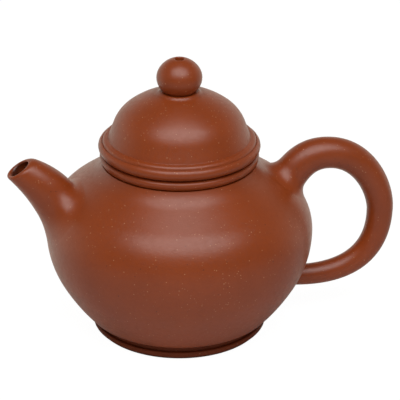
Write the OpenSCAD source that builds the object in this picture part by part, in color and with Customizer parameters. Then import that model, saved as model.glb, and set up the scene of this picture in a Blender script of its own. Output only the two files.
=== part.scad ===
// Round stoneware teapot with a loose domed lid, built from the clay pieces that a potter lutes together.
// Millimetres. Origin on the pot's axis at its standing plane, +Z up, spout towards -X, handle towards +X.

/* [Clay] */
// Thickness of the pot's wall, shoulder and floor
wall = 3; // [2.4:0.1:3.6]
// Thickness of the lid's dome
lid_wall = 3; // [2.4:0.1:3.6]
// Gap all round between the lid's bezel and the mouth
seat_gap = 0.35; // [0.25:0.05:0.6]

/* [Belly] */
// Widest diameter of the belly
belly_d = 92; // [86:0.5:100]
// Height of the widest line
belly_z = 36.2; // [34:0.1:42]
// Radius of the arc from the belly over the shoulder
shoulder_arc = 18.5; // [17:0.1:20]
// Radius of the arc just under the belly
flank_arc = 35; // [31:0.5:40]
// Angle under the widest line where the flank passes into the flatter keel
flank_turn = 29; // [25:0.5:33]
// Radius of the flatter arc that runs down to the foot
keel_arc = 70; // [60:1:85]
// Angle between the foot of the neck's sweep and the seam of the top disc
seam_margin = 7; // [5:0.5:12]

/* [Foot] */
// How far the foot ring stands out past the end of the wall
foot_out = 0; // [-0.5:0.1:1.5]
// Width of the slope at the ring's lower outer edge
foot_slope = 1.5; // [0.8:0.1:1.8]
// Width of the foot ring
foot_w = 5.6; // [4.6:0.1:8]
// Height of the foot ring
foot_h = 3.2; // [2.6:0.1:4]
// Height of the dark line between foot and belly
groove_h = 0.8; // [0.5:0.1:1.2]
// Depth of that line, in from the end of the wall
groove_deep = 1.4; // [0.8:0.1:1.8]

/* [Neck and mouth] */
// Bore of the mouth
mouth_d = 48; // [44:0.5:49]
// Thickness of the neck
neck_w = 2.6; // [2.2:0.1:3.2]
// Radius of the hollow sweep from the shoulder up to the neck
neck_cove = 7.5; // [6:0.1:8.5]
// Height of the upright neck
neck_h = 1; // [0.6:0.1:2.5]
// Width of the bead round the mouth
mouth_ring_w = 3.2; // [2.8:0.1:4]
// Height of the bead round the mouth
mouth_ring_h = 3.1; // [2.6:0.1:4]

/* [Lid] */
// How far the flange bead overhangs the bead round the mouth
flange_over = 0.45; // [0:0.05:1.2]
// Height of the flange bead
flange_h = 4; // [3.4:0.1:5]
// Depth of the bezel below the flange
bezel_h = 7; // [5:0.5:9]
// Thickness of the bezel
bezel_w = 2.6; // [2:0.1:3.2]
// How far the dome stands in from the flange's edge
dome_in = 4.25; // [3.6:0.05:5]
// Height of the dome above its upright side
dome_rise = 16.7; // [15:0.1:18.5]
// Radius of the arc at the dome's side
dome_arc = 13.3; // [11:0.1:14.2]
// Height from the flange to the middle of the dome's side arc
dome_lift = 0.9; // [0.5:0.1:1.4]
// How far the skirt spreads past the dome where it stands on the flange
skirt_w = 2.1; // [1.4:0.1:2.5]
// Height of the skirt's upright edge
skirt_edge = 0.5; // [0.3:0.1:0.8]
// Width of the line scribed into the flange round the skirt
scribe_w = 0.4; // [0.3:0.05:0.6]
// Depth of that line
scribe_deep = 0.4; // [0.2:0.05:0.6]

/* [Knob] */
// Diameter of the knob
knob_d = 15.5; // [13:0.1:18]
// Height of the knob's full oval
knob_h = 13.8; // [12:0.1:15]
// Radius of the arc at the knob's side
knob_arc = 5.8; // [5:0.1:5.9]
// How far the oval is sunk below the top of its collar
knob_sink = 2.2; // [1.5:0.1:3]
// Diameter of the collar under the knob
collar_d = 13; // [12:0.1:15]
// Height of the collar above the crown of the dome
collar_h = 0.3; // [0.2:0.1:1]
// Radius of the hollow sweep from the collar down to the dome
collar_cove = 2.2; // [1.5:0.1:3]
// Diameter of the vent through the knob
vent_d = 3; // [2:0.1:4]

/* [Spout] */
// Angle up the shoulder arc where the spout's centre line leaves the wall
spout_root = 40; // [36:0.5:44]
// Slope of the centre line where it leaves the wall
spout_rise = 64; // [60:1:68]
// Slope of the centre line at the mouth of the spout
spout_fall = 34; // [28:1:40]
// How far the middle of the spout's mouth lies outside the belly
spout_reach = 9.2; // [6:0.1:14]
// How far the middle of the spout's mouth lies below the lid's seat
spout_drop = 3.3; // [0:0.1:5]
// Slope of the line square to the spout's mouth
spout_cut = 54; // [48:1:60]
// Outer diameter at the root
spout_root_d = 16; // [14.5:0.1:17]
// Outer diameter at the mouth
spout_tip_d = 9.2; // [8.8:0.1:11]
// Growth of the diameter inside the root, where it spreads onto the belly
spout_flare = 2.4; // [1:0.1:3]
// Bore at the root
spout_bore_d = 10.8; // [9.6:0.1:11.6]
// Bore at the mouth
spout_mouth_d = 7.5; // [6:0.1:7.8]

/* [Strainer] */
// Thickness of the pierced thimble in the spout's port
strainer_wall = 1.2; // [1:0.1:1.5]
// Diameter of its holes
strainer_hole_d = 2.4; // [1.6:0.1:2.8]
// Holes in the ring round the middle one
strainer_holes = 6; // [4:1:7]
// Angle of that ring from the strainer's own axis
strainer_turn = 44; // [38:1:50]

/* [Handle] */
// Angle up the shoulder arc of the upper root
handle_root = 56; // [52:0.5:59]
// Slope of the centre line at the upper root
handle_rise = 57; // [52:1:62]
// How far the highest point of the centre line lies outside the belly
handle_peak = 5.4; // [3:0.1:8]
// How far the highest point of the centre line lies below the lid's seat
handle_drop = 5.1; // [3:0.1:8]
// How far the outermost point of the centre line lies outside the belly
handle_reach = 25.5; // [20:0.1:34]
// How far the outermost point lies above the belly's widest line
handle_mid = 1.3; // [-2:0.1:5]
// How far the lower root lies below the belly's widest line
handle_low = 21.9; // [18:0.1:25]
// How far the pull of the lower run dips below the lower root
handle_dip = 2.4; // [0:0.1:3]
// Diameter at the upper root
handle_root_d = 12.3; // [11:0.1:14]
// Diameter at the highest point
handle_top_d = 11; // [10:0.1:12.5]
// Diameter at the outermost point
handle_grip_d = 9.2; // [8:0.1:11]
// Diameter at the lower root
handle_low_d = 7.2; // [6.4:0.1:8.5]

/* [Hidden] */
$fn = 180;
clay = "#8c4a34";
clay_dark = "#7d402c";
clay_pale = "#96523a";
// Overlap that lets a cutter pass clean through a face
pass = 1;
// A flatter arc is this much smaller than the true one, so it crosses its neighbour instead of just touching it
hair = 0.02;

// Centres of the three arcs of the turned wall, as [radius, height]
belly_r = belly_d / 2;
shoulder_c = [belly_r - shoulder_arc, belly_z];
flank_c = [belly_r - flank_arc, belly_z];
keel_c = flank_c + (keel_arc - flank_arc) * [-cos(flank_turn), sin(flank_turn)];
turn_z = belly_z - flank_arc * sin(flank_turn);
wall_z = foot_h + groove_h;
wall_foot_r = wall_r(wall_z);
floor_z = wall_z + wall - groove_h;
plate_z = belly_z + shoulder_arc - wall;

// Foot ring and the dark line above it, both measured from the end of the wall
foot_r = wall_foot_r + foot_out;
foot_land_r = foot_r - foot_slope;
foot_bore_r = foot_r - foot_w;
groove_r = wall_foot_r - groove_deep;

// Neck, mouth and lid heights, each standing on the one below
mouth_r = mouth_d / 2;
neck_r = mouth_r + neck_w;
mouth_ring_r = mouth_r + mouth_ring_w;
flange_r = mouth_ring_r + flange_over;
// A hollow sweep bites this far into the arc that it runs out on, so the two cross instead of just touching
cove_bite = 0.06;
cove_span = shoulder_arc + neck_cove - cove_bite;
cove_out = neck_r + neck_cove - shoulder_c.x;
cove_c = [neck_r + neck_cove, belly_z + sqrt(cove_span ^ 2 - cove_out ^ 2)];
cove_foot_r = shoulder_c.x + shoulder_arc * cove_out / cove_span;
shoulder_seam = acos(cove_out / cove_span) - seam_margin;
neck_top = cove_c.y + neck_h;
seat_z = neck_top + mouth_ring_h;
flange_top = seat_z + flange_h;
bezel_r = mouth_r - seat_gap;
// A bead's arc is a little larger than half its height, so its edges stay clear and its faces flat
bead_bulge = 1.12;

// Dome and knob ovals, each of side arcs and crown arcs that touch
dome_r = flange_r - dome_in;
dome_z = flange_top + dome_lift;
dome_crown = oval_crown(dome_r, dome_rise, dome_arc);
dome_top = dome_z + dome_rise;
skirt_r = dome_r + skirt_w;
// The skirt's hollow sweep bites this far into the dome
skirt_bite = 0.2;
skirt_cove = skirt_w + skirt_bite;
collar_top = dome_top + collar_h;
collar_span = dome_crown + collar_cove - cove_bite;
collar_out = collar_d / 2 + collar_cove;
collar_c = [collar_out, dome_top - dome_crown + sqrt(collar_span ^ 2 - collar_out ^ 2)];
collar_foot_r = dome_crown * collar_out / collar_span;
knob_r = knob_d / 2;
knob_z = collar_top + knob_h / 2 - knob_sink;
vent_r = vent_d / 2;

// Strainer: its tube lines the port, stops short of the wall's outside and reaches past the wall's inside
strainer_d = spout_bore_d + 2 * strainer_wall;
strainer_lap = 0.2;
strainer_shy = arc_sag(shoulder_arc, strainer_d) + strainer_lap;
strainer_deep = wall + arc_sag(shoulder_arc - wall, strainer_d) + strainer_lap;

// Sweeps: points round a ring, rings along a curve
ring_sides = 28;
curve_steps = 12;
// Length of each sweep that is buried in the wall and cut away with it
spout_bury = 12;
handle_bury = 5;
// Straight length past the spout's mouth, cut off by its slanted plane
spout_spare = 6;
// Pull of the curve's ends, as a share of the distance between them
spout_pull = 0.37;
neck_pull = 0.4;
// Fullness of the handle's curve at its crown, grip top, grip bottom and lower run
crown_pull = 0.65;
grip_pull_up = 0.37;
grip_pull_down = 0.76;
low_pull = 0.65;

function unit(angle) = [cos(angle), sin(angle)];
function on_shoulder(angle) = shoulder_c + shoulder_arc * unit(angle);

// Outer radius of the wall at a height below its widest line
function wall_r(z) = z < turn_z
    ? keel_c.x + sqrt(keel_arc ^ 2 - (keel_c.y - z) ^ 2)
    : flank_c.x + sqrt(flank_arc ^ 2 - (flank_c.y - z) ^ 2);

// How far an arc falls away over a chord, near enough for a shallow arc
function arc_sag(radius, chord) = chord ^ 2 / (8 * radius);

// Crown radius of an oval with half width a, half height b and side arc s
function oval_crown(a, b, s) = ((a - s) ^ 2 + b ^ 2 - s ^ 2) / (2 * (b - s));

// Cubic curve through its end points, and the slope along it
function cubic(p, t) = p[0] * (1 - t) ^ 3 + 3 * p[1] * t * (1 - t) ^ 2 + 3 * p[2] * t ^ 2 * (1 - t) + p[3] * t ^ 3;
function cubic_slope(p, t) = (p[1] - p[0]) * (1 - t) ^ 2 + 2 * (p[2] - p[1]) * t * (1 - t) + (p[3] - p[2]) * t ^ 2;
function angle_of(v) = atan2(v.y, v.x);

// One ring of a sweep, square to the curve at a point in the pot's upright plane
function ring(at, slope, r) = [for (i = [0 : ring_sides - 1]) let (a = 360 * i / ring_sides)
    [at.x - r * cos(a) * sin(slope), r * sin(a), at.y + r * cos(a) * cos(slope)]];

// A closed tube through stations of [point, slope, radius]
module sweep(stations) {
    n = ring_sides;
    last = len(stations) - 1;
    points = [for (s = stations) each ring(s[0], s[1], s[2])];
    sides = [for (j = [0 : last - 1], i = [0 : n - 1]) let (k = (i + 1) % n)
        each [[j * n + i, j * n + k, (j + 1) * n + k], [j * n + i, (j + 1) * n + k, (j + 1) * n + i]]];
    start = [for (i = [n - 1 : -1 : 0]) i];
    end = [for (i = [0 : n - 1]) last * n + i];
    polyhedron(points, concat([start], sides, [end]));
}

// Part of a round wall between two rays from the arc's centre
module arc_wall(centre, radius, thick, from, to) {
    far = 2 * radius;
    middle = (from + to) / 2;
    translate(centre)
        intersection() {
            difference() {
                circle(radius);
                if (thick < radius) circle(radius - thick);
            }
            polygon([[0, 0], far * unit(from), far * unit(middle), far * unit(to)]);
        }
}

// Rectangle between two radii and two heights
module band(r0, r1, z0, z1) {
    translate([r0, z0]) square([r1 - r0, z1 - z0]);
}

// Ring section with a rounded outer edge and flat top and bottom
module bead(r0, r1, z0, height) {
    bulge = bead_bulge * height / 2;
    intersection() {
        union() {
            translate([r1 - bulge, z0 + height / 2]) circle(bulge);
            band(r0, r1 - bulge, z0, z0 + height);
        }
        band(r0, r1 + pass, z0, z0 + height);
    }
}

// Half of a filled oval on the axis, drawn in by an inset: flat crown arcs over tight side arcs
module oval(half_w, half_h, side, inset) {
    crown = oval_crown(half_w, half_h, side);
    turn = atan2(crown - half_h, half_w - side);
    intersection() {
        translate([0, half_h - crown]) circle(crown - inset - hair);
        translate([0, crown - half_h]) circle(crown - inset - hair);
        union() {
            translate([half_w - side, 0]) circle(side - inset);
            band(0, (crown - inset) * cos(turn), -half_h, half_h);
        }
        band(0, half_w + pass, -half_h, half_h);
    }
}

// Filled lower half of the belly, drawn in by an inset: the tight flank passes into the flatter keel
module belly_bowl(inset) {
    intersection() {
        translate(keel_c) circle(keel_arc - inset - hair);
        union() {
            translate(flank_c) circle(flank_arc - inset);
            band(0, belly_r, 0, turn_z + inset * sin(flank_turn));
        }
        band(0, belly_d, wall_z, belly_z);
    }
}

// Section of the hollow sweep from the shoulder up to the neck, filled in to a radius
module neck_sweep(r0) {
    difference() {
        band(r0, cove_foot_r, plate_z, cove_c.y);
        translate(cove_c) circle(neck_cove);
    }
}

// The filled outer form of the belly and its shoulder, which trims the spout and the handle
module belly_core() {
    rotate_extrude() {
        belly_bowl(0);
        arc_wall(shoulder_c, shoulder_arc, shoulder_arc, 0, 90);
        band(0, shoulder_c.x + wall, belly_z, plate_z);
        neck_sweep(0);
    }
}

// Sets its children square to the shoulder at an angle up its arc, on the spout's side
module at_port(angle, depth) {
    at = on_shoulder(angle) - depth * unit(angle);
    translate([-at.x, 0, at.y]) rotate([0, angle - 90, 0]) children();
}

module foot_ring() {
    outside = foot_r + pass;
    color(clay_dark)
        rotate_extrude()
            difference() {
                bead(foot_bore_r, foot_r, 0, foot_h);
                polygon([[foot_land_r, 0], [outside, foot_slope + pass], [outside, -pass], [foot_land_r, -pass]]);
            }
}

module base_disc() {
    color(clay_dark)
        rotate_extrude() {
            band(0, groove_r, foot_h, wall_z);
            intersection() {
                belly_bowl(wall);
                band(0, belly_r, wall_z, floor_z);
            }
        }
}

module body_wall() {
    color(clay)
        rotate_extrude()
            difference() {
                belly_bowl(0);
                belly_bowl(wall);
            }
}

// The wall above the widest line, with the spout's port
module upper_wall() {
    color(clay)
        difference() {
            rotate_extrude() arc_wall(shoulder_c, shoulder_arc, wall, 0, shoulder_seam);
            at_port(spout_root, strainer_deep) cylinder(d = strainer_d, h = strainer_deep + pass);
        }
}

module shoulder_disc() {
    color(clay)
        rotate_extrude()
            difference() {
                union() {
                    arc_wall(shoulder_c, shoulder_arc, wall, shoulder_seam, 90);
                    neck_sweep(mouth_r);
                }
                translate(cove_c) circle(neck_cove);
                band(0, mouth_r, 0, seat_z);
            }
}

module neck_collar() {
    color(clay)
        rotate_extrude() band(mouth_r, neck_r, cove_c.y, neck_top);
}

module mouth_ring() {
    color(clay_pale)
        rotate_extrude() bead(mouth_r, mouth_ring_r, neck_top, mouth_ring_h);
}

// Centre line of the spout in its own plane, from the wall to the middle of its mouth
spout_start = on_shoulder(spout_root);
spout_end = [belly_r + spout_reach, seat_z - spout_drop];
spout_tug = spout_pull * norm(spout_end - spout_start);
spout_curve = [spout_start, spout_start + spout_tug * unit(spout_rise),
    spout_end - spout_tug * unit(spout_fall), spout_end];

// Stations of the spout: a buried straight stub, the curve, and a spare straight end
function spout_stations(root_r, tip_r, flare) = [
    [spout_start - spout_bury * unit(spout_rise), spout_rise, root_r + flare],
    [spout_start - spout_bury / 2 * unit(spout_rise), spout_rise, root_r + flare / 2],
    for (i = [0 : curve_steps]) let (t = i / curve_steps)
        [cubic(spout_curve, t), angle_of(cubic_slope(spout_curve, t)), root_r - (root_r - tip_r) * t ^ 2],
    [spout_end + spout_spare * unit(spout_fall), spout_fall, tip_r]
];

module spout() {
    bore = spout_stations(spout_bore_d / 2, spout_mouth_d / 2, 0);
    far = spout_end + (spout_spare + pass) * unit(spout_fall);
    color(clay)
        mirror([1, 0, 0])
            difference() {
                sweep(spout_stations(spout_root_d / 2, spout_tip_d / 2, spout_flare / 2));
                sweep(concat(bore, [[far, spout_fall, spout_mouth_d / 2]]));
                belly_core();
                translate([spout_end.x, 0, spout_end.y])
                    rotate([0, 90 - spout_cut, 0])
                        translate([-belly_r, -belly_r, 0]) cube([belly_d, belly_d, belly_r]);
            }
}

// Pierced thimble, pushed into the port from inside: a short tube in the wall and a half ball with holes
module spout_strainer() {
    ball_r = strainer_d / 2;
    color(clay_dark)
        at_port(spout_root, strainer_deep)
            difference() {
                rotate_extrude() {
                    arc_wall([0, 0], ball_r, strainer_wall, -90, 0);
                    band(ball_r - strainer_wall, ball_r, 0, strainer_deep - strainer_shy);
                }
                rotate([180, 0, 0]) cylinder(d = strainer_hole_d, h = strainer_d);
                for (i = [0 : strainer_holes - 1])
                    rotate([180 - strainer_turn, 0, 360 * i / strainer_holes])
                        cylinder(d = strainer_hole_d, h = strainer_d);
            }
}

// Centre line of the handle in three curves: up from the shoulder, over to the grip, down to the lower root
handle_start = on_shoulder(handle_root);
handle_high = [belly_r + handle_peak, seat_z - handle_drop];
handle_far = [belly_r + handle_reach, belly_z + handle_mid];
handle_low_z = belly_z - handle_low;
handle_foot = [wall_r(handle_low_z), handle_low_z];
handle_tug = neck_pull * norm(handle_high - handle_start);
handle_up = [handle_start, handle_start + handle_tug * unit(handle_rise), handle_high - [handle_tug, 0], handle_high];
handle_over = [handle_high, handle_high + [crown_pull * (handle_far.x - handle_high.x), 0],
    handle_far + [0, grip_pull_up * (handle_high.y - handle_far.y)], handle_far];
handle_down = [handle_far, handle_far - [0, grip_pull_down * (handle_far.y - handle_foot.y)],
    handle_foot + [low_pull * (handle_far.x - handle_foot.x), -handle_dip], handle_foot];
handle_end = angle_of(handle_foot - handle_down[2]);

function handle_run(curve, r0, r1, from) = [for (i = [from : curve_steps]) let (t = i / curve_steps)
    [cubic(curve, t), angle_of(cubic_slope(curve, t)), r0 + (r1 - r0) * t]];

module handle() {
    color(clay)
        difference() {
            sweep([
                [handle_start - handle_bury * unit(handle_rise), handle_rise, handle_root_d / 2],
                each handle_run(handle_up, handle_root_d / 2, handle_top_d / 2, 0),
                each handle_run(handle_over, handle_top_d / 2, handle_grip_d / 2, 1),
                each handle_run(handle_down, handle_grip_d / 2, handle_low_d / 2, 1),
                [handle_foot + handle_bury * unit(handle_end), handle_end, handle_low_d / 2]
            ]);
            belly_core();
        }
}

module lid_dome() {
    cove_z = flange_top + skirt_edge + skirt_cove;
    color(clay)
        rotate_extrude()
            difference() {
                union() {
                    intersection() {
                        translate([0, dome_z])
                            difference() {
                                oval(dome_r, dome_rise, dome_arc, 0);
                                oval(dome_r, dome_rise, dome_arc, lid_wall);
                            }
                        band(0, dome_r + pass, dome_z, dome_top);
                    }
                    band(dome_r - lid_wall, dome_r, flange_top, dome_z);
                    difference() {
                        band(dome_r - lid_wall / 2, skirt_r, flange_top, cove_z);
                        translate([skirt_r, cove_z]) circle(skirt_cove);
                    }
                }
                band(0, vent_r, 0, dome_top + pass);
            }
}

module lid_flange() {
    color(clay_pale)
        rotate_extrude()
            difference() {
                bead(dome_r - lid_wall, flange_r, seat_z, flange_h);
                band(skirt_r, skirt_r + scribe_w, flange_top - scribe_deep, flange_top + pass);
            }
}

module lid_bezel() {
    color(clay)
        rotate_extrude() band(bezel_r - bezel_w, bezel_r, seat_z - bezel_h, seat_z);
}

module knob_collar() {
    color(clay)
        rotate_extrude()
            difference() {
                band(vent_r, collar_foot_r, dome_top - lid_wall, collar_top);
                translate([0, dome_top - dome_crown]) circle(dome_crown - hair);
                translate(collar_c) circle(collar_cove);
            }
}

module knob() {
    color(clay)
        rotate_extrude()
            difference() {
                translate([0, knob_z]) oval(knob_r, knob_h / 2, knob_arc, 0);
                band(0, knob_r, 0, collar_top);
                band(0, vent_r, 0, knob_z + knob_h);
            }
}

foot_ring();
base_disc();
body_wall();
upper_wall();
shoulder_disc();
neck_collar();
mouth_ring();
spout();
spout_strainer();
handle();
lid_dome();
lid_flange();
lid_bezel();
knob_collar();
knob();
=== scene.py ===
from math import acos, asin, atan2, cos, degrees, hypot, pi, radians, sin, sqrt

import bmesh
import bpy
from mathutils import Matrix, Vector


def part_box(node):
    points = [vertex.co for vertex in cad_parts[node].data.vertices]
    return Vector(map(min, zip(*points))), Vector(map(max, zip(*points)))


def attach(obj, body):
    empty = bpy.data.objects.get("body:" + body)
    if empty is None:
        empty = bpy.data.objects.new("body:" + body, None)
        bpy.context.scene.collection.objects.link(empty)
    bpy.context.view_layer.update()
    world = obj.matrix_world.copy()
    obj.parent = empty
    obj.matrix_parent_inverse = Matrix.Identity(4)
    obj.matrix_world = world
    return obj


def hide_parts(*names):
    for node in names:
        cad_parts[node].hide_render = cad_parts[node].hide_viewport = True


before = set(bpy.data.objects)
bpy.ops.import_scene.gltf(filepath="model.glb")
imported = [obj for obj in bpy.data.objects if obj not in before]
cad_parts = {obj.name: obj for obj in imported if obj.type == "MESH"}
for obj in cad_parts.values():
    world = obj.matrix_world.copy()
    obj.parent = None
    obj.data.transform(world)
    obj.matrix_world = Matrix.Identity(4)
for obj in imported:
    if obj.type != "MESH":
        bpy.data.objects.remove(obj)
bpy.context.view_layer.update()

# Foot ring
# A turned ring of the same clay, luted under the pot, which carries it all. Its lower outer edge is trimmed off at
# a slope and lies in its own shadow, and the shallow groove above it shows as a dark line.
# It is left matt, where the rest of the pot is burnished, and its clay is painted darker than the body's, in part
# as painted shade from the belly's overhang.
foot_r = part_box("foot_ring")[1].x
foot_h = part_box("foot_ring")[1].z
foot_w = 0.0056
foot_slope = 0.0015
foot_lean = 0.0003
foot_edge = 0.0004
foot_bulge = 0.0006
foot_brow = 0.00275
plate_r = 0.0288
outline_gap = 0.0008
arc_least = 4
turn_steps = 180
weld = 0.000001
crease = radians(40)


def begin(r, z):
    """Starts an outline in the pot's upright plane."""
    outline = bmesh.new()
    return outline, outline.verts.new((r, 0, z))


def line_to(outline, tip, r, z):
    """Draws the outline on to a point."""
    drawn = bmesh.ops.extrude_vert_indiv(outline, verts=[tip])["verts"][0]
    drawn.co = (r, 0, z)
    return drawn


def arc_about(outline, tip, centre, sweep):
    """Swings the outline's tip about a centre, anticlockwise through an angle in degrees."""
    reach = hypot(tip.co.x - centre[0], tip.co.z - centre[1])
    steps = max(arc_least, round(abs(radians(sweep)) * reach / outline_gap))
    swung = bmesh.ops.spin(outline, geom=[tip], cent=(centre[0], 0, centre[1]), axis=(0, -1, 0),
                           angle=radians(sweep), steps=steps, use_merge=False, use_duplicate=False)
    return swung["geom_last"][0]


def round_to(outline, tip, corner, after, radius):
    """Draws on to a corner and rounds it off towards the point after it."""
    corner = Vector(corner)
    into = (corner - Vector((tip.co.x, tip.co.z))).normalized()
    out = (Vector(after) - corner).normalized()
    sweep = atan2(into.x * out.y - into.y * out.x, into.dot(out))
    side = 1 if sweep > 0 else -1
    start = corner - into * radius * abs(sin(sweep) / (1 + cos(sweep)))
    centre = start + Vector((-into.y, into.x)) * radius * side
    tip = line_to(outline, tip, start.x, start.y)
    return arc_about(outline, tip, centre, degrees(sweep))


def piece_from(name, shape):
    """Makes a smooth piece of a finished shape."""
    bmesh.ops.remove_doubles(shape, verts=shape.verts, dist=weld)
    bmesh.ops.recalc_face_normals(shape, faces=shape.faces)
    for face in shape.faces:
        face.smooth = True
    mesh = bpy.data.meshes.new(name)
    shape.to_mesh(mesh)
    shape.free()
    mesh.set_sharp_from_angle(angle=crease)
    piece = bpy.data.objects.new(name, mesh)
    bpy.context.scene.collection.objects.link(piece)
    return piece


def turn(name, outline):
    """Closes an outline and turns it round the pot's axis."""
    outline.edges.new([v for v in outline.verts if len(v.link_edges) == 1])
    bmesh.ops.spin(outline, geom=outline.verts[:] + outline.edges[:], cent=(0, 0, 0), axis=(0, 0, 1),
                   angle=2 * pi, steps=turn_steps, use_merge=True, use_duplicate=False)
    return piece_from(name, outline)


def node(tree, kind, inputs=(), **settings):
    """Adds a shader node, with its settings and the values or links of its inputs."""
    made = tree.nodes.new("ShaderNode" + kind)
    for name, value in settings.items():
        setattr(made, name, value)
    for socket, value in dict(inputs).items():
        if isinstance(value, bpy.types.NodeSocket):
            tree.links.new(value, made.inputs[socket])
        else:
            made.inputs[socket].default_value = value
    return made


def graded(tree, value, span, ends):
    """Turns a value's run over a span into a run between two ends, level beyond them."""
    return node(tree, "MapRange", {"Value": value, "From Min": span[0], "From Max": span[1],
                                   "To Min": ends[0], "To Max": ends[1]}).outputs["Result"]


grain_core = 0.6
drift_per_m = 70.0
drift_detail = 1.0
drift_span = (0.36, 0.66)
drift_thin = 0.25
drift_thick = 2.0


def grains(tree, where, per_metre, size, share):
    """Mask of sparse grains, in loose clusters: a share of them shows, each with its own strength."""
    cells = node(tree, "TexVoronoi", {"Vector": where, "Scale": per_metre})
    luck = node(tree, "SeparateColor", {"Color": cells.outputs["Color"]})
    near = graded(tree, cells.outputs["Distance"], (size * grain_core, size), (1.0, 0.0))
    drift = node(tree, "TexNoise", {"Vector": where, "Scale": drift_per_m, "Detail": drift_detail})
    bar = graded(tree, drift.outputs["Fac"], drift_span, (1.0 - drift_thin * share, 1.0 - drift_thick * share))
    drawn = node(tree, "Math", {0: luck.outputs["Red"], 1: bar}, operation="GREATER_THAN")
    shown = node(tree, "Math", {0: near, 1: drawn.outputs[0]}, operation="MULTIPLY")
    return node(tree, "Math", {0: shown.outputs[0], 1: luck.outputs["Green"]}, operation="MULTIPLY").outputs[0]


def tinted(tree, amount, under, over):
    """Lays one colour over another by an amount."""
    return node(tree, "Mix", {0: amount, 6: under, 7: over}, data_type="RGBA").outputs[2]


# The fired clay's skin: cloudy tone, fine mottle, pale grains of sand, a few dark ones of iron, and a fine tooth.
# Each set of grains has its cells per metre, a grain's size in cells, and the share of cells that show.
cloud_per_m = 60.0
cloud_span = (0.35, 0.7)
cloud_most = 0.45
mottle_per_m = 750.0
mottle_span = (0.4, 0.75)
mottle_most = 0.35
tooth_per_m = 2200.0
tooth_detail = 2.0
skin_detail = 3.0
fine_sand = (1000.0, 0.18, 0.34)
coarse_sand = (420.0, 0.09, 0.30)
iron_specks = (600.0, 0.14, 0.15)
grain_shift = (0.5, 0.3, 0.7)
scuff_span = (0.3, 0.7)
scuff_most = 0.05
skin = bpy.data.node_groups.new("clay_skin", "ShaderNodeTree")
for socket in ("Clay", "Burnt", "Sand", "Iron"):
    skin.interface.new_socket(socket, in_out="INPUT", socket_type="NodeSocketColor")
skin.interface.new_socket("Matt", in_out="INPUT", socket_type="NodeSocketFloat")
for socket, kind in (("Color", "Color"), ("Roughness", "Float"), ("Height", "Float")):
    skin.interface.new_socket(socket, in_out="OUTPUT", socket_type="NodeSocket" + kind)
given = skin.nodes.new("NodeGroupInput").outputs
spot = node(skin, "TexCoord").outputs["Object"]
clouds = node(skin, "TexNoise", {"Vector": spot, "Scale": cloud_per_m, "Detail": skin_detail})
mottle = node(skin, "TexNoise", {"Vector": spot, "Scale": mottle_per_m, "Detail": skin_detail})
tooth = node(skin, "TexNoise", {"Vector": spot, "Scale": tooth_per_m, "Detail": tooth_detail})
cloudy = graded(skin, clouds.outputs["Fac"], cloud_span, (0.0, cloud_most))
mottled = graded(skin, mottle.outputs["Fac"], mottle_span, (0.0, mottle_most))
shifted = node(skin, "Mapping", {"Vector": spot, "Location": grain_shift}).outputs[0]
fine = grains(skin, spot, *fine_sand)
coarse = grains(skin, shifted, *coarse_sand)
pale = node(skin, "Math", {0: fine, 1: coarse}, operation="MAXIMUM").outputs[0]
dark = grains(skin, shifted, *iron_specks)
tone = tinted(skin, cloudy, given["Clay"], given["Burnt"])
tone = tinted(skin, mottled, tone, given["Burnt"])
tone = tinted(skin, dark, tone, given["Iron"])
tone = tinted(skin, pale, tone, given["Sand"])
scuff = graded(skin, mottle.outputs["Fac"], scuff_span, (-scuff_most, scuff_most))
rough = node(skin, "Math", {0: given["Matt"], 1: scuff}, operation="ADD")
bumps = node(skin, "Math", {0: pale, 1: tooth.outputs["Fac"]}, operation="ADD")
leaving = skin.nodes.new("NodeGroupOutput")
skin.links.new(tone, leaving.inputs["Color"])
skin.links.new(rough.outputs[0], leaving.inputs["Roughness"])
skin.links.new(bumps.outputs[0], leaving.inputs["Height"])


sand = (0.58, 0.29, 0.15, 1)
iron = (0.07, 0.02, 0.012, 1)
tooth_strength = 0.18
tooth_deep = 0.0002


def clay(name, body, burnt, matt, shine):
    """A fired clay of its own tone and polish."""
    made = bpy.data.materials.new(name)
    made.use_nodes = True
    tree = made.node_tree
    tree.nodes.clear()
    on = tree.nodes.new("ShaderNodeGroup")
    on.node_tree = skin
    on.inputs["Clay"].default_value = body
    on.inputs["Burnt"].default_value = burnt
    on.inputs["Sand"].default_value = sand
    on.inputs["Iron"].default_value = iron
    on.inputs["Matt"].default_value = matt
    relief = node(tree, "Bump", {"Height": on.outputs["Height"], "Strength": tooth_strength,
                                 "Distance": tooth_deep})
    surface = node(tree, "BsdfPrincipled", {"Base Color": on.outputs["Color"], "Normal": relief.outputs[0],
                                            "Roughness": on.outputs["Roughness"], "Specular IOR Level": shine})
    node(tree, "OutputMaterial", {"Surface": surface.outputs[0]})
    return made


def fix(piece, body, slot, finish, *nodes):
    """Gives a piece its finish and its place on a body, where it stands for the plain solids."""
    piece.data.materials.clear()
    piece.data.materials.append(finish)
    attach(piece, body)
    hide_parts(*nodes)


# Painted shade in part: the foot's clay is darker than the body's, to stand for the shade under the belly's
# overhang.
shaded_foot_tone = (0.160, 0.028, 0.005, 1)
shaded_foot_burnt = (0.125, 0.021, 0.003, 1)
foot_matt = 0.6
foot_shine = 0.25
foot_clay = clay("foot_clay", shaded_foot_tone, shaded_foot_burnt, foot_matt, foot_shine)
foot_in = foot_r - foot_w
foot_land = foot_r - foot_slope
foot_top = foot_r - foot_lean
foot, tip = begin(foot_in, foot_h)
tip = round_to(foot, tip, (foot_in, 0), (foot_land, 0), foot_edge)
tip = round_to(foot, tip, (foot_land, 0), (foot_r, foot_slope), foot_edge)
tip = round_to(foot, tip, (foot_r, foot_slope), (foot_top, foot_brow), foot_bulge)
tip = round_to(foot, tip, (foot_top, foot_brow), (plate_r, foot_brow), foot_bulge)
tip = line_to(foot, tip, plate_r, foot_brow)
tip = line_to(foot, tip, plate_r, foot_h)
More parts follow.
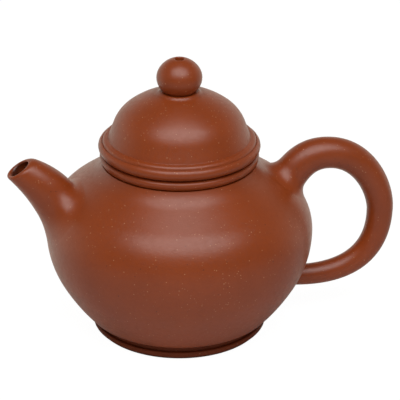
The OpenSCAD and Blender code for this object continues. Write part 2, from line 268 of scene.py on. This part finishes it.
foot_ring = turn("turned_foot", foot)
fix(foot_ring, "pot", "foot_clay", foot_clay, "foot_ring")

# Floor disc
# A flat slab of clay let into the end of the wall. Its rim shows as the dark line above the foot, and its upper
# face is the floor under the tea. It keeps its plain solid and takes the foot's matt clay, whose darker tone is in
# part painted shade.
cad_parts["base_disc"].material_slots[0].material = foot_clay

# Belly, shoulder and neck
# The wall is beaten up from strips of clay, closed by a top disc and drawn up a straight slope into the neck while
# it is soft, and the seams are paddled away. So these solids show as one skin, with the round port of the spout
# cut through it.
red_tone = (0.280, 0.049, 0.0080, 1)
red_burnt = (0.225, 0.038, 0.0060, 1)
red_matt = 0.36
red_shine = 0.56
red_clay = clay("red_clay", red_tone, red_burnt, red_matt, red_shine)
wall = 0.003
wall_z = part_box("body_wall")[0].z
belly_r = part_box("body_wall")[1].x
belly_z = 0.0362
shoulder_arc = 0.0185
flank_arc = 0.035
flank_turn = 29
keel_arc = 0.070
neck_r = 0.0266
neck_drop = 0.0009
neck_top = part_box("neck_collar")[1].z - neck_drop
neck_lean = 25
shoulder_turn = 55
slope_steps = 14
mouth_r = 0.024
wall_edge = 0.0012
wall_lift = 0.0020
keel_nudge = 1
lip_edge = 0.0012
shoulder_c = Vector((belly_r - shoulder_arc, belly_z))
flank_c = Vector((belly_r - flank_arc, belly_z))
keel_c = flank_c + (keel_arc - flank_arc) * Vector((-cos(radians(flank_turn)), sin(radians(flank_turn))))
slope_out = Vector((cos(radians(shoulder_turn)), sin(radians(shoulder_turn))))
slope_up = Vector((-slope_out.y, slope_out.x))
slope_foot = shoulder_c + shoulder_arc * slope_out
neck_end = Vector((neck_r, neck_top))
neck_cove = (neck_end - slope_foot).dot(slope_out) / (1 - cos(radians(shoulder_turn - neck_lean)))
cove_c = neck_end + neck_cove * Vector((cos(radians(neck_lean)), sin(radians(neck_lean))))
slope_head = cove_c - neck_cove * slope_out
plate_z = belly_z + shoulder_arc - wall


def keel_angle(arc, z):
    """Angle below the level at which an arc about the keel's centre meets a height."""
    return degrees(asin((z - keel_c.y) / arc))


def on_keel(arc, angle):
    """Point of an arc about the keel's centre."""
    return keel_c + arc * Vector((cos(radians(angle)), sin(radians(angle))))


in_end = keel_angle(keel_arc - wall, wall_z)
out_end = keel_angle(keel_arc, wall_z + wall_lift)
wall_in = on_keel(keel_arc - wall, in_end)
belly, tip = begin(wall_in.x, wall_in.y)
tip = line_to(belly, tip, plate_r, wall_z)
tip = round_to(belly, tip, on_keel(keel_arc, out_end), on_keel(keel_arc, out_end + keel_nudge), wall_edge)
keel_start = degrees(atan2(tip.co.z - keel_c.y, tip.co.x - keel_c.x))
tip = arc_about(belly, tip, keel_c, -flank_turn - keel_start)
tip = arc_about(belly, tip, flank_c, flank_turn)
tip = arc_about(belly, tip, shoulder_c, shoulder_turn)
for step in range(1, slope_steps + 1):
    tip = line_to(belly, tip, *slope_foot.lerp(slope_head, step / slope_steps))
tip = arc_about(belly, tip, cove_c, neck_lean - shoulder_turn)
tip = line_to(belly, tip, mouth_r, neck_top)
tip = round_to(belly, tip, (mouth_r, plate_z), (shoulder_c.x, plate_z), lip_edge)
tip = line_to(belly, tip, shoulder_c.x, plate_z)
tip = arc_about(belly, tip, shoulder_c, -90)
tip = arc_about(belly, tip, flank_c, -flank_turn)
tip = arc_about(belly, tip, keel_c, in_end + flank_turn)
pot_body = turn("pot_body", belly)

port_angle = 40
port_r = 0.0066
port_long = 0.016
port_sides = 64
port_at = shoulder_c + shoulder_arc * Vector((cos(radians(port_angle)), sin(radians(port_angle))))


def cut_port(piece):
    """Cuts the spout's round port square through the shoulder."""
    drill = bmesh.new()
    bmesh.ops.create_cone(drill, cap_ends=True, segments=port_sides, radius1=port_r, radius2=port_r,
                          depth=port_long)
    port_way = Vector((-cos(radians(port_angle)), 0, sin(radians(port_angle))))
    square_to = port_way.to_track_quat("Z", "Y").to_matrix()
    bmesh.ops.rotate(drill, verts=drill.verts, cent=(0, 0, 0), matrix=square_to)
    bmesh.ops.translate(drill, verts=drill.verts, vec=(-port_at.x, 0, port_at.y))
    cutter = piece_from("port_drill", drill)
    cut = piece.modifiers.new("port", "BOOLEAN")
    cut.operation = "DIFFERENCE"
    cut.solver = "EXACT"
    cut.object = cutter
    plain = piece.data
    piece.data = bpy.data.meshes.new_from_object(piece.evaluated_get(bpy.context.evaluated_depsgraph_get()))
    piece.modifiers.clear()
    piece.data.set_sharp_from_angle(angle=crease)
    bpy.data.objects.remove(cutter)
    bpy.data.meshes.remove(plain)


cut_port(pot_body)
fix(pot_body, "pot", "red_clay", red_clay, "body_wall", "upper_wall", "shoulder_disc", "neck_collar")

# Mouth ring
# A thin bead of clay luted round the mouth, with its lower edge tucked under onto the neck. The lid rests on a
# narrow land inside it, so a dark crevice stays open all round between the bead and the lid's rim.
ring_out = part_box("mouth_ring")[1].x
ring_low = neck_top
ring_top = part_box("mouth_ring")[1].z
ring_edge = 0.0005
land_w = 0.0014
crevice = 0.0007
ring_round = 0.0012
ring_tuck = 0.0021
bead, tip = begin(mouth_r, ring_low)
tip = round_to(bead, tip, (ring_out, ring_low), (ring_out, ring_top), ring_tuck)
tip = round_to(bead, tip, (ring_out, ring_top - crevice), (mouth_r, ring_top - crevice), ring_round)
tip = line_to(bead, tip, mouth_r + land_w, ring_top - crevice)
tip = line_to(bead, tip, mouth_r + land_w, ring_top)
tip = round_to(bead, tip, (mouth_r, ring_top), (mouth_r, ring_low), ring_edge)
mouth_bead = turn("mouth_bead", bead)
fix(mouth_bead, "pot", "red_clay", red_clay, "mouth_ring")

# Spout
# A short bent tube, rolled from a tapered sheet of clay and luted over the port. Its root is smoothed onto the
# belly with a wet finger until no seam shows, and its mouth is sliced off aslant and rubbed round.
# The bore sits a little high in the mouth, and the clay just inside the mouth is painted dark as shade.
spout_rise = radians(64)
spout_fall = radians(31)
spout_cut = radians(57)
spout_tip = Vector((-0.0555, 0, 0.0622))
spout_root_r = 0.0080
spout_tip_r = 0.0046
bore_root_r = 0.0054
bore_tip_r = 0.00315
bore_high = 0.0005
spout_flare = 0.0012
spout_hollow = 0.00035
spout_swell = 0.0004
spout_pull = 0.37
spout_fillet = 0.0090
spout_fillet_low = 0.0060
spout_fillet_top = 0.0030
fillet_steps = 14
fillet_pull = 0.6
tube_sides = 72
sink = 0.00004
halvings = 30
root_from = -0.6
spout_root_to = 0.6
slice_from = 0.6
brow_from = 0.4
slice_to = 1.4
lip_brow = 0.0009
lip_brow_top = 0.0016
lip_pull = 0.55
lip_steps = 6
spout_steps = 26
bore_steps = 16
bore_bite = wall / 4
# Painted shade inside the spout's mouth: a dark tone laid over the clay round the bore's end.
bore_shade_tone = (0.045, 0.008, 0.002, 1)
bore_depth = 0.0014
bore_shade = 0.0040
bore_cover = 0.95


def cubic(ends, t):
    """Point and direction of a curve through four control points, straight on past its ends."""
    a, b, c, d = ends
    s = min(max(t, 0), 1)
    at = a * (1 - s) ** 3 + 3 * b * s * (1 - s) ** 2 + 3 * c * s ** 2 * (1 - s) + d * s ** 3
    way = 3 * ((b - a) * (1 - s) ** 2 + 2 * (c - b) * s * (1 - s) + (d - c) * s ** 2)
    return at + way * (t - s), way


def tube_point(ends, t, angle, r):
    """Point on a round tube along a curve in the pot's upright plane."""
    at, way = cubic(ends, t)
    way = way.normalized()
    return at + r * (cos(angle) * Vector((-way.z, 0, way.x)) + sin(angle) * Vector((0, 1, 0)))


def proud(point):
    """How far a point stands out of the belly's skin, and the direction that leads straight out."""
    flat = Vector((hypot(point.x, point.y), point.z))
    lean = degrees(atan2(flat.y - shoulder_c.y, flat.x - shoulder_c.x))
    climb = (flat - slope_foot).dot(slope_up)
    if lean > shoulder_turn and climb > (slope_head - slope_foot).length:
        off = cove_c - flat
        height = neck_cove - off.length
    elif lean > shoulder_turn:
        off = slope_out.copy()
        height = (flat - slope_foot).dot(slope_out)
    else:
        turn_z = belly_z - flank_arc * sin(radians(flank_turn))
        centre, arc = (keel_c, keel_arc) if flat.y < turn_z else (flank_c, flank_arc)
        if flat.y > belly_z:
            centre, arc = shoulder_c, shoulder_arc
        off = flat - centre
        height = off.length - arc
    off.normalize()
    return height, Vector((off.x * point.x / flat.x, off.x * point.y / flat.x, off.y))


def along_skin(way, point):
    """A direction laid flat along the belly's skin at a point."""
    straight_out = proud(point)[1]
    return (way - straight_out * way.dot(straight_out)).normalized()


def search(test, low, high):
    """Value between two others at which a test goes from false to true."""
    for _ in range(halvings):
        middle = (low + high) / 2
        if test(middle):
            high = middle
        else:
            low = middle
    return high


def fillet(foot_t, side, angle, wide):
    """Ring points of a soft fillet from the belly's skin up a tube, at one angle round it.

    foot_t is where the tube's side meets the skin, and side gives the tube's point at a place along it.
    """
    corner = side(foot_t, angle)
    nudge = 0.01
    step = wide / (side(foot_t + nudge, angle) - corner).length * nudge
    upper = side(foot_t + step, angle)
    up = (side(foot_t + step + nudge, angle) - upper).normalized()
    away = corner - side.middle(foot_t)
    lower = corner + along_skin(away, corner) * wide
    height, straight_out = proud(lower)
    lower -= straight_out * (height + sink)
    pull = fillet_pull * wide
    bend = (lower, lower - along_skin(away, lower) * pull, upper - up * pull, upper)
    return [cubic(bend, i / fillet_steps)[0] for i in range(fillet_steps + 1)], foot_t + step


def eased(angle, beside, front, back):
    """Width that changes softly round a tube, from its front over its sides to its back."""
    return beside + ((front if cos(angle) > 0 else back) - beside) * cos(angle) ** 2


def loft(name, columns):
    """Skins a closed tube over columns of points, one column for each angle round it."""
    rows = len(columns[0])
    shape = bmesh.new()
    bmesh.ops.create_grid(shape, x_segments=rows - 1, y_segments=len(columns), size=1)
    for vert in shape.verts:
        row = round((vert.co.x + 1) / 2 * (rows - 1))
        column = round((vert.co.y + 1) / 2 * len(columns)) % len(columns)
        vert.co = columns[column][row]
    return piece_from(name, shape)


class TubeSide:
    """The outer side of a tapering tube."""

    def __init__(self, ends, radius):
        self.ends = ends
        self.radius = radius

    def __call__(self, t, angle):
        return tube_point(self.ends, t, angle, self.radius(t, angle))

    def middle(self, t):
        return cubic(self.ends, t)[0]


spout_start = Vector((-port_at.x, 0, port_at.y))
spout_tug = spout_pull * (spout_tip - spout_start).length
spout_line = (spout_start, spout_start + spout_tug * Vector((-cos(spout_rise), 0, sin(spout_rise))),
              spout_tip - spout_tug * Vector((-cos(spout_fall), 0, sin(spout_fall))), spout_tip)
slice_way = Vector((-cos(spout_cut), 0, sin(spout_cut)))


def lip_radius(angle):
    """Outer radius of the spout's mouth, thicker along its back."""
    return spout_tip_r + spout_swell * max(-cos(angle), 0) ** 2


def spout_radius(t, angle):
    """Outer radius along the spout, spreading below its root and a little hollow along its back."""
    if t < 0:
        return spout_root_r - spout_flare * t
    hollow = spout_hollow * max(-cos(angle), 0) ** 2 * sin(pi * min(t, 1)) ** 2
    return spout_root_r - (spout_root_r - lip_radius(angle)) * t ** 2 - hollow


def bore_radius(t, angle):
    """Radius of the spout's bore, which lies a little high at the mouth."""
    return bore_root_r - (bore_root_r - bore_tip_r + bore_high * cos(angle)) * min(max(t, 0), 1) ** 2


spout_side = TubeSide(spout_line, spout_radius)
bore_side = TubeSide(spout_line, bore_radius)


def short_of(point):
    """How far a point lies short of the mouth's slanted face."""
    return (spout_tip - point).dot(slice_way)


def sliced(angle, r, below):
    """Point of the spout's mouth at a radius, a little below its slanted face, and its place along the spout."""
    at = search(lambda t: short_of(tube_point(spout_line, t, angle, r)) < below, slice_from, slice_to)
    return tube_point(spout_line, at, angle, r), at


def rounded(start, corner, end):
    """Points of a soft bend from one point past a corner to another."""
    bend = (start, start.lerp(corner, lip_pull), end.lerp(corner, lip_pull), end)
    return [cubic(bend, k / lip_steps)[0] for k in range(1, lip_steps + 1)]


spout_columns = []
for i in range(tube_sides):
    angle = 2 * pi * i / tube_sides
    foot_t = search(lambda t: proud(spout_side(t, angle))[0] > 0, root_from, spout_root_to)
    root_w = eased(angle, spout_fillet, spout_fillet_low, spout_fillet_top)
    column, first = fillet(foot_t, spout_side, angle, root_w)
    bore_r = bore_radius(1, angle)
    lip = (lip_radius(angle) - bore_r) / 2
    crest = sliced(angle, (lip_radius(angle) + bore_r) / 2, 0)[0]
    brow = eased(angle, lip_brow, lip_brow, lip_brow_top)
    last = search(lambda t: short_of(spout_side(t, angle)) < brow, brow_from, slice_to)
    for k in range(1, spout_steps + 1):
        column.append(spout_side(first + (last - first) * k / spout_steps, angle))
    along = (column[-1] - column[-2]).normalized()
    corner = column[-1] + along * short_of(column[-1]) / along.dot(slice_way)
    column.extend(rounded(column[-1], corner, crest))
    bore_end, last = sliced(angle, bore_r, lip)
    column.extend(rounded(crest, sliced(angle, bore_r, 0)[0], bore_end))
    end = search(lambda t: proud(bore_side(t, angle))[0] > -bore_bite, root_from, spout_root_to)
    for k in range(1, bore_steps + 1):
        column.append(bore_side(last + (end - last) * k / bore_steps, angle))
    column.append(column[0])
    spout_columns.append(column)
spout = loft("bent_spout", spout_columns)
spout_clay = red_clay.copy()
spout_clay.name = "spout_clay"
spout_tree = spout_clay.node_tree
spout_skin = spout_tree.nodes["Principled BSDF"].inputs["Base Color"]
# Painted shade: the spout's clay darkens towards the end of its bore, where the inside of the mouth lies in shade.
bore_at = spout_tip - bore_depth * Vector((-cos(spout_fall), 0, sin(spout_fall)))
bore_off = node(spout_tree, "VectorMath", {0: node(spout_tree, "TexCoord").outputs["Object"], 1: bore_at},
                operation="DISTANCE")
bore_shade_mask = graded(spout_tree, bore_off.outputs["Value"], (bore_tip_r, bore_shade), (bore_cover, 0.0))
spout_tone = tinted(spout_tree, bore_shade_mask, spout_skin.links[0].from_socket, bore_shade_tone)
spout_tree.links.new(spout_tone, spout_skin)
fix(spout, "pot", "red_clay", spout_clay, "spout")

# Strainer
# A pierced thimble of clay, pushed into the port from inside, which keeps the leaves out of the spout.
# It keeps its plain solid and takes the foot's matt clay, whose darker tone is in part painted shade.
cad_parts["spout_strainer"].material_slots[0].material = foot_clay

# Handle
# An ear rolled from one tapering coil of clay, thick at the shoulder and thin below. The upper root is smoothed
# onto the shoulder like the spout's, and the lower one is only pressed on, so its edge stays crisp.
handle_rise = radians(57)
handle_root = radians(56)
handle_high = Vector((0.0514, 0, 0.0603))
handle_far = Vector((0.0715, 0, 0.0375))
handle_foot_z = 0.0143
handle_dip = 0.0024
handle_root_r = 0.00615
handle_top_r = 0.0055
handle_grip_r = 0.0046
handle_low_r = 0.0036
neck_pull = 0.4
crown_pull = 0.65
grip_pull_up = 0.37
grip_pull_down = 0.76
low_pull = 0.65
upper_fillet = 0.0055
upper_fillet_top = 0.0048
upper_fillet_low = 0.0036
lower_fillet = 0.0008
handle_steps = 30
upper_root_to = 0.9
lower_root_to = 0.6
handle_start = Vector((shoulder_c.x + shoulder_arc * cos(handle_root), 0,
                       shoulder_c.y + shoulder_arc * sin(handle_root)))
handle_foot_r = keel_c.x + sqrt(keel_arc ** 2 - (keel_c.y - handle_foot_z) ** 2)
handle_foot = Vector((handle_foot_r, 0, handle_foot_z))
handle_tug = neck_pull * (handle_high - handle_start).length
outwards = Vector((1, 0, 0))
upwards = Vector((0, 0, 1))
handle_up = (handle_start, handle_start + handle_tug * Vector((cos(handle_rise), 0, sin(handle_rise))),
             handle_high - handle_tug * outwards, handle_high)
handle_over = (handle_high, handle_high + crown_pull * (handle_far.x - handle_high.x) * outwards,
               handle_far + grip_pull_up * (handle_high.z - handle_far.z) * upwards, handle_far)
low_bend = handle_foot + low_pull * (handle_far.x - handle_foot.x) * outwards - handle_dip * upwards
grip_bend = handle_far - grip_pull_down * (handle_far.z - handle_foot.z) * upwards
handle_back = (handle_foot, low_bend, grip_bend, handle_far)
upper_side = TubeSide(handle_up, lambda t, angle: handle_root_r + (handle_top_r - handle_root_r) * t)
over_side = TubeSide(handle_over, lambda t, angle: handle_top_r + (handle_grip_r - handle_top_r) * t)
lower_side = TubeSide(handle_back, lambda t, angle: handle_low_r + (handle_grip_r - handle_low_r) * t)
upper_cap = handle_start - 2 * sink * proud(handle_start)[1]
lower_cap = handle_foot - 2 * sink * proud(handle_foot)[1]
handle_columns = []
for i in range(tube_sides):
    angle = 2 * pi * i / tube_sides
    foot_t = search(lambda t: proud(upper_side(t, angle))[0] > 0, root_from, upper_root_to)
    root_w = eased(angle, upper_fillet, upper_fillet_top, upper_fillet_low)
    column, first = fillet(foot_t, upper_side, angle, root_w)
    column.insert(0, upper_cap)
    for k in range(1, handle_steps + 1):
        column.append(upper_side(first + (1 - first) * k / handle_steps, angle))
    for k in range(1, handle_steps + 1):
        column.append(over_side(k / handle_steps, angle))
    mirrored = -angle + pi
    foot_t = search(lambda t: proud(lower_side(t, mirrored))[0] > 0, root_from, lower_root_to)
    ending, first = fillet(foot_t, lower_side, mirrored, lower_fillet)
    for k in range(1, handle_steps):
        column.append(lower_side(1 + (first - 1) * k / handle_steps, mirrored))
    column.extend(reversed(ending))
    column.append(lower_cap)
    handle_columns.append(column)
handle = loft("ear_handle", handle_columns)
fix(handle, "pot", "red_clay", red_clay, "handle")

# Lid bezel
# The deep ring of clay luted under the lid. It drops into the mouth with a hair of play and keeps the lid on while
# the pot pours.
bezel_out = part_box("lid_bezel")[1].x
bezel_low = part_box("lid_bezel")[0].z
seat_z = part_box("lid_bezel")[1].z
bezel_w = 0.0026
bezel_edge = 0.0006
bezel_in = bezel_out - bezel_w
bezel, tip = begin(bezel_in, seat_z)
tip = round_to(bezel, tip, (bezel_in, bezel_low), (bezel_out, bezel_low), bezel_edge)
tip = round_to(bezel, tip, (bezel_out, bezel_low), (bezel_out, seat_z), bezel_edge)
tip = line_to(bezel, tip, bezel_out, seat_z)
lid_bezel = turn("lid_bezel_ring", bezel)
fix(lid_bezel, "lid", "red_clay", red_clay, "lid_bezel")

# Lid flange
# The thick bead that overhangs the mouth ring and shows as the lid's rim. A fine line is scribed round its top
# against the dome's skirt while the lid turns on the wheel.
flange_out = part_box("lid_flange")[1].x
flange_drop = 0.0004
flange_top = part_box("lid_flange")[1].z - flange_drop
dome_r = 0.0233
lid_wall = 0.003
scribe_r = 0.02635
scribe_w = 0.0001
scribe_deep = 0.00018
bead_bulge = 1.12
flange_in = dome_r - lid_wall


def bead_side(outline, tip, out, low, top):
    """Draws the round outer side of a bead, up from its lower face."""
    arc = bead_bulge * (top - low) / 2
    half = degrees(asin(1 / bead_bulge))
    tip = line_to(outline, tip, out - arc + arc * cos(radians(half)), low)
    return arc_about(outline, tip, (out - arc, (low + top) / 2), 2 * half)


rim, tip = begin(flange_in, seat_z)
tip = bead_side(rim, tip, flange_out, seat_z, flange_top)
tip = line_to(rim, tip, scribe_r + scribe_w, flange_top)
tip = line_to(rim, tip, scribe_r, flange_top - scribe_deep)
tip = line_to(rim, tip, scribe_r - scribe_w, flange_top)
tip = line_to(rim, tip, flange_in, flange_top)
lid_rim = turn("lid_rim", rim)
fix(lid_rim, "lid", "red_clay", red_clay, "lid_flange")

# Lid dome
# The cover, pressed over a mould and turned true. It has a flat crown and leaning sides that meet a narrow, rounded
# skirt on the flange in a crisp crease.
dome_rise = 0.0167
dome_arc = 0.0133
dome_lift = 0.0013
dome_lean = 20
skirt_r = 0.0262
skirt_edge = 0.0012
skirt_crease = 0.0002
skirt_round = 0.0013
vent_r = 0.0015
dome_z = flange_top + dome_lift
dome_top = dome_z + dome_rise


def crown_of(half_w, half_h, side):
    """Radius of the flat arcs over an oval whose tight side arcs they touch."""
    return ((half_w - side) ** 2 + half_h ** 2 - side ** 2) / (2 * (half_h - side))


dome_crown = crown_of(dome_r, dome_rise, dome_arc)
dome_side_r = dome_r - dome_arc
dome_turn = degrees(atan2(dome_crown - dome_rise, dome_side_r))
crown_c = (0, dome_top - dome_crown)
vent_turn = degrees(acos(vent_r / dome_crown))
vent_turn_in = degrees(acos(vent_r / (dome_crown - lid_wall)))
lean_out = Vector((cos(radians(dome_lean)), sin(radians(dome_lean))))
side_end = Vector((dome_side_r, dome_z)) + dome_arc * lean_out
skirt_z = flange_top + skirt_edge
crease_r = side_end.x + (side_end.y - skirt_z) * lean_out.y / lean_out.x
dome, tip = begin(vent_r, crown_c[1] + dome_crown * sin(radians(vent_turn)))
tip = arc_about(dome, tip, crown_c, dome_turn - vent_turn)
tip = arc_about(dome, tip, (dome_side_r, dome_z), dome_lean - dome_turn)
tip = round_to(dome, tip, (crease_r, skirt_z), (skirt_r, skirt_z), skirt_crease)
tip = round_to(dome, tip, (skirt_r, skirt_z), (skirt_r, flange_top), skirt_round)
tip = line_to(dome, tip, tip.co.x, flange_top)
tip = line_to(dome, tip, flange_in, flange_top)
tip = line_to(dome, tip, flange_in, dome_z)
tip = arc_about(dome, tip, (dome_side_r, dome_z), dome_turn)
tip = arc_about(dome, tip, crown_c, vent_turn_in - dome_turn)
lid_dome = turn("lid_cover", dome)
fix(lid_dome, "lid", "red_clay", red_clay, "lid_dome")

# Knob collar
# A low ring of slip between knob and dome, wiped into a soft hollow sweep outside and left with a narrow crest
# round the seat of the knob.
collar_r = 0.0065
collar_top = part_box("knob_collar")[1].z
collar_cove = 0.0022
collar_edge = 0.0004
collar_crest = 0.0003
collar_seat_r = 0.0049
collar_seat_deep = 0.0006
collar_seat_z = collar_top - collar_seat_deep
collar_skin = 0.0009
sweep_r = collar_r + collar_cove
sweep_z = crown_c[1] + sqrt((dome_crown + collar_cove) ** 2 - sweep_r ** 2)
sweep_foot = degrees(atan2(crown_c[1] - sweep_z, -sweep_r)) + 360
sweep_head = 180 + degrees(asin((sweep_z - collar_top + collar_crest + collar_edge) / collar_cove))
sweep_start = (sweep_r + collar_cove * cos(radians(sweep_foot)),
               sweep_z + collar_cove * sin(radians(sweep_foot)))
collar, tip = begin(*sweep_start)
tip = arc_about(collar, tip, (sweep_r, sweep_z), sweep_head - sweep_foot)
tip = round_to(collar, tip, (tip.co.x - collar_edge, collar_top - collar_crest), (collar_seat_r, collar_seat_z),
               2 * collar_edge)
tip = line_to(collar, tip, collar_seat_r, collar_seat_z)
tip = line_to(collar, tip, vent_r, collar_seat_z)
tip = line_to(collar, tip, vent_r, dome_top - collar_skin)
tip = arc_about(collar, tip, crown_c, degrees(atan2(sweep_start[1] - crown_c[1], sweep_start[0])) - vent_turn)
knob_collar = turn("knob_foot", collar)
fix(knob_collar, "lid", "red_clay", red_clay, "knob_collar")

# Knob
# A flattened ball of clay, rolled in the hand and luted into its collar. It is pierced from top to bottom, so that
# air gets in while the tea runs out.
knob_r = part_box("knob")[1].x
knob_half = 0.0069
knob_arc = 0.0058
vent_round = 0.0004
vent_bend = 80
knob_sink = 0.0025
knob_z = collar_top + knob_half - knob_sink
knob_crown = crown_of(knob_r, knob_half, knob_arc)
knob_turn = degrees(atan2(knob_crown - knob_half, knob_r - knob_arc))
knob_up_c = (0, knob_z + knob_half - knob_crown)
knob_down_c = (0, knob_z - knob_half + knob_crown)
rim_turn = degrees(acos((vent_r + vent_round) / knob_crown))
rim_z = knob_up_c[1] + knob_crown * sin(radians(rim_turn))
foot_turn = degrees(asin((collar_seat_z - knob_down_c[1]) / knob_crown))
ball, tip = begin(vent_r + vent_round, rim_z)
tip = arc_about(ball, tip, knob_up_c, knob_turn - rim_turn)
tip = arc_about(ball, tip, (knob_r - knob_arc, knob_z), -2 * knob_turn)
tip = arc_about(ball, tip, knob_down_c, foot_turn + knob_turn)
tip = line_to(ball, tip, vent_r, collar_seat_z)
tip = line_to(ball, tip, vent_r, rim_z - vent_round)
tip = arc_about(ball, tip, (vent_r + vent_round, rim_z - vent_round), -vent_bend)
knob = turn("ball_knob", ball)
fix(knob, "lid", "red_clay", red_clay, "knob")

# Floor
# A plain sheet of white paper. Seen straight it is white and keeps a soft shadow of the pot. In the clay's gloss it
# glows behind the pot and is duller in front, and it throws most light back close to the foot.
floor_half = 2.0
floor_gap = 0.0001
paper_glow = 0.9
paper_bright = 1.08
paper_pale = 0.95
paper_dull = 0.48
paper_dim = 0.6
near_span = (0.07, 0.28)
paper_far = 0.8
behind_span = (-0.02, 0.06)
paper_white = (1.0, 1.0, 1.0, 1)
paper_warm = (1.0, 0.93, 0.82, 1)
sheet = bmesh.new()
bmesh.ops.create_grid(sheet, x_segments=1, y_segments=1, size=floor_half)
bmesh.ops.translate(sheet, verts=sheet.verts, vec=(0, 0, -floor_gap))
floor = piece_from("floor", sheet)
paper = bpy.data.materials.new("white_paper")
paper.use_nodes = True
paper_tree = paper.node_tree
paper_tree.nodes.clear()


def by_ray(tree, straight, gloss, other):
    """Value for rays that see the backdrop straight, for those that see it in gloss or glass, and for the rest."""
    rays = node(tree, "LightPath").outputs
    shiny = node(tree, "Math", {0: rays["Is Glossy Ray"], 1: rays["Is Transmission Ray"]}, operation="MAXIMUM")
    part = node(tree, "Mix", {0: shiny.outputs[0], 2: other, 3: gloss})
    return node(tree, "Mix", {0: rays["Is Camera Ray"], 2: part.outputs[0], 3: straight}).outputs[0]


def warm_unseen(tree):
    """White where it is seen straight, and a warm white for all other rays."""
    return tinted(tree, node(tree, "LightPath").outputs["Is Camera Ray"], paper_warm, paper_white)


paper_spot = node(paper_tree, "TexCoord").outputs["Object"]
paper_y = node(paper_tree, "SeparateXYZ", {0: paper_spot}).outputs["Y"]
paper_behind = graded(paper_tree, paper_y, behind_span, (0.0, paper_far))
paper_seen = by_ray(paper_tree, paper_glow, paper_behind, 0.0)
paper_off = node(paper_tree, "VectorMath", {0: paper_spot}, operation="LENGTH").outputs["Value"]
paper_lit = graded(paper_tree, paper_off, near_span, (paper_pale, paper_dim))
paper_shine = node(paper_tree, "Math", {0: paper_lit, 1: paper_dull}, operation="MULTIPLY").outputs[0]
paper_tone = by_ray(paper_tree, paper_pale, paper_shine, paper_lit)
paper_plain = node(paper_tree, "BsdfDiffuse", {"Color": paper_tone})
paper_light = node(paper_tree, "Emission", {"Color": warm_unseen(paper_tree), "Strength": paper_bright})
paper_mix = node(paper_tree, "MixShader", {0: paper_seen, 1: paper_plain.outputs[0], 2: paper_light.outputs[0]})
node(paper_tree, "OutputMaterial", {"Surface": paper_mix.outputs[0]})
floor.data.materials.append(paper)

# Studio light
# A white tent that dims towards its top and is open and dark in front, where the camera stands, with one large oval
# soft box high above the camera. Seen straight the tent is plain white.
tent_front = 0.05
tent_back = 0.9
depth_span = (-0.3, 0.5)
height_span = (0.2, 0.7)
tent_top = 0.12
tent_soft = 0.40
tent_white = 1.0
box_wide = 1.28
box_deep = 0.88
box_watts = 9.2
box_at = (-0.035, -0.51, 0.81)
box_turn = radians(10)
world = bpy.data.worlds.new("white_tent")
bpy.context.scene.world = world
world.use_nodes = True
tent_tree = world.node_tree
tent_tree.nodes.clear()
tent_way = node(tent_tree, "SeparateXYZ", {0: node(tent_tree, "TexCoord").outputs["Generated"]}).outputs
tent_wall = graded(tent_tree, tent_way["Y"], depth_span, (tent_front, tent_back))
tent_roof = graded(tent_tree, tent_way["Z"], height_span, (1.0, tent_top))
tent_gloss = node(tent_tree, "Math", {0: tent_wall, 1: tent_roof}, operation="MULTIPLY").outputs[0]
tent_fill = node(tent_tree, "Math", {0: tent_roof, 1: tent_soft}, operation="MULTIPLY").outputs[0]
tent_level = by_ray(tent_tree, tent_white, tent_gloss, tent_fill)
tent = node(tent_tree, "Background", {"Color": warm_unseen(tent_tree), "Strength": tent_level})
node(tent_tree, "OutputWorld", {"Surface": tent.outputs[0]})
box_light = bpy.data.lights.new("soft_box", "AREA")
box_light.shape = "ELLIPSE"
box_light.size = box_wide
box_light.size_y = box_deep
box_light.energy = box_watts
soft_box = bpy.data.objects.new("soft_box", box_light)
soft_box.location = box_at
soft_box.rotation_euler = (0, 0, -box_turn)
bpy.context.scene.collection.objects.link(soft_box)

# Camera
# Where the photograph was taken from: a long lens a little to the spout's side, looking down on the lid. A small
# shift frames the pot as there.
camera_way = radians(10)
camera_far = 0.6731
camera_high = 0.3570
camera_pitch = radians(24.786)
camera_shift = (0.0516, 0.0010)
lens_mm = 193.7
sensor_mm = 36.0
lens = bpy.data.cameras.new("camera")
lens.sensor_width = sensor_mm
lens.lens = lens_mm
lens.shift_x = camera_shift[0]
lens.shift_y = camera_shift[1]
camera = bpy.data.objects.new("camera", lens)
camera.location = (-camera_far * sin(camera_way), -camera_far * cos(camera_way), camera_high)
camera.rotation_euler = (pi / 2 - camera_pitch, 0, -camera_way)
bpy.context.scene.collection.objects.link(camera)
bpy.context.scene.camera = camera
bpy.context.scene.view_settings.view_transform = "Standard"
